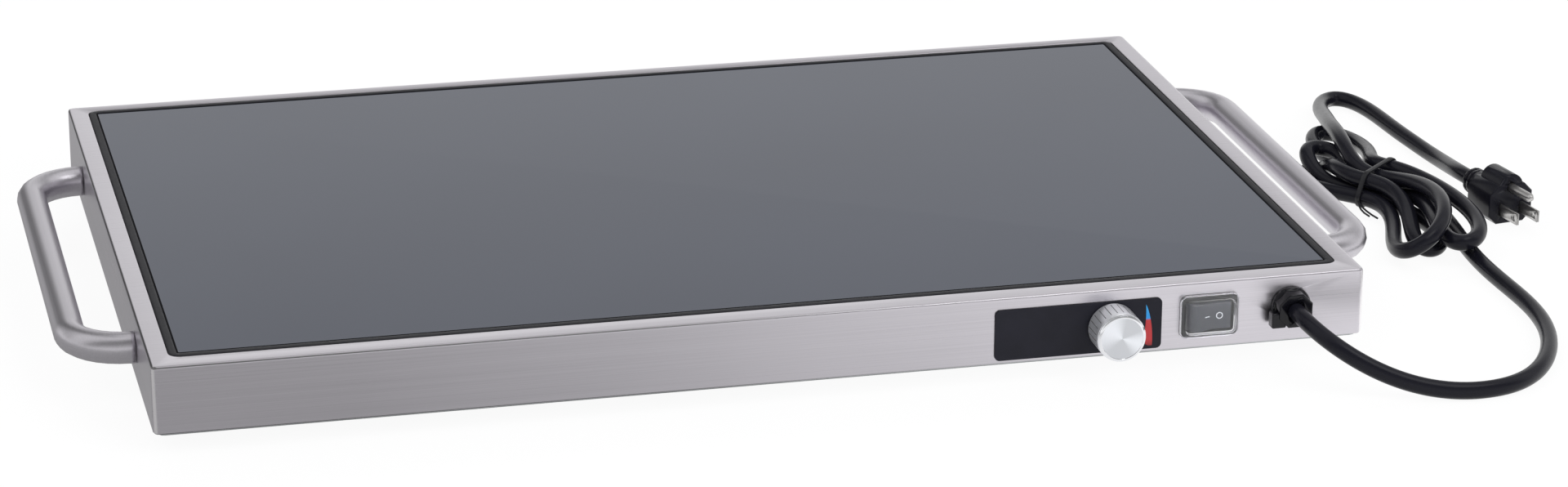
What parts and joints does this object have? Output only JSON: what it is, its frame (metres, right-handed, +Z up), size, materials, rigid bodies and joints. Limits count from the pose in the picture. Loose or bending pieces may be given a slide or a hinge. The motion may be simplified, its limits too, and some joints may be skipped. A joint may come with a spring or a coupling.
{
  "type": "heated shelf food warmer",
  "caption": "Low glass-topped stainless warming tray with tube handles at both ends, a thermostat knob, a booted rocker switch and a tied mains cord.",
  "frame": {"origin": "on the counter, under the middle of the body, handles and knob, the cord left out", "axes": "+X to the right along the long side seen from the controls, +Y from the controls to the back, +Z up"},
  "size_m": [0.8077, 0.4846, 0.0445],
  "materials": {
    "brushed_stainless": "brushed along the length, even sheen",
    "dark_glass": "polished dark slate glass",
    "black_silicone": "matt black silicone",
    "galvanised_sheet": "galvanised sheet, dull spangle",
    "turned_aluminium": "turned face, polished edge rings",
    "heater_silicone": "brick red silicone heater mat",
    "ceramic_fibre": "white felted fibre",
    "black_plastic": "fine-grained black moulding",
    "control_overlay": "black film with a blue-to-red heat crescent",
    "clear_silicone": "clear flexible cover",
    "cord_rubber": "soft black cord jacket and feet",
    "nickel_brass": "nickel-plated brass",
    "ceramic_block": "off-white ceramic",
    "zinc_steel": "zinc-plated steel",
    "copper_tube": "bare copper tube",
    "wire_red": "red wire insulation",
    "wire_white": "white wire insulation",
    "wire_green": "green wire insulation"
  },
  "bodies": {
    "tray": {"base_plate": "galvanised_sheet", "base_screw_back_left": "zinc_steel", "base_screw_back_middle": "zinc_steel", "base_screw_back_right": "zinc_steel", "base_screw_front_left": "zinc_steel", "base_screw_front_middle": "zinc_steel", "base_screw_front_right": "zinc_steel", "control_overlay": "control_overlay", "cord_hank": "cord_rubber", "cord_lead": "cord_rubber", "cord_tail": "cord_rubber", "cord_tie": "black_plastic", "foot_back_left": "cord_rubber", "foot_back_right": "cord_rubber", "foot_front_left": "cord_rubber", "foot_front_right": "cord_rubber", "glass_ledge": "galvanised_sheet", "glass_seal": "black_silicone", "glass_top": "dark_glass", "ground_screw": "zinc_steel", "ground_wire": "wire_green", "handle_bolt_back_left": "zinc_steel", "handle_bolt_back_right": "zinc_steel", "handle_bolt_front_left": "zinc_steel", "handle_bolt_front_right": "zinc_steel", "heating_mat": "heater_silicone", "housing": "brushed_stainless", "insulation_blanket": "ceramic_fibre", "insulation_pan": "galvanised_sheet", "left_handle": "brushed_stainless", "live_wire": "wire_red", "neutral_wire": "wire_white", "pan_spacer_back_left": "zinc_steel", "pan_spacer_back_right": "zinc_steel", "pan_spacer_front_left": "zinc_steel", "pan_spacer_front_right": "zinc_steel", "plug_blade_left": "nickel_brass", "plug_blade_right": "nickel_brass", "plug_body": "cord_rubber", "plug_ground_pin": "nickel_brass", "right_handle": "brushed_stainless", "strain_relief": "black_plastic", "strain_relief_wedge": "black_plastic", "switch_body": "black_plastic", "switch_boot": "clear_silicone", "switch_tab_left": "nickel_brass", "switch_tab_right": "nickel_brass", "switch_wire": "wire_red", "terminal_block": "ceramic_block", "thermal_cutout": "zinc_steel", "thermostat_body": "ceramic_block", "thermostat_bulb": "copper_tube", "thermostat_nut": "zinc_steel"},
    "knob": {"knob_shell": "turned_aluminium", "knob_core": "black_plastic", "thermostat_shaft": "zinc_steel"},
    "rocker": {"switch_rocker": "black_plastic"}
  },
  "joints": [
    {"name": "knob_turn", "type": "hinge", "parent": "tray", "child": "knob", "pos_m": [0.1719, -0.20535, 0.0255], "axis": [0, 1, 0], "range_deg": [0, 270]},
    {"name": "rocker_tilt", "type": "hinge", "parent": "tray", "child": "rocker", "pos_m": [0.2227, -0.19095, 0.02725], "axis": [0, 0, -1], "range_deg": [0, 22]}
  ]
}
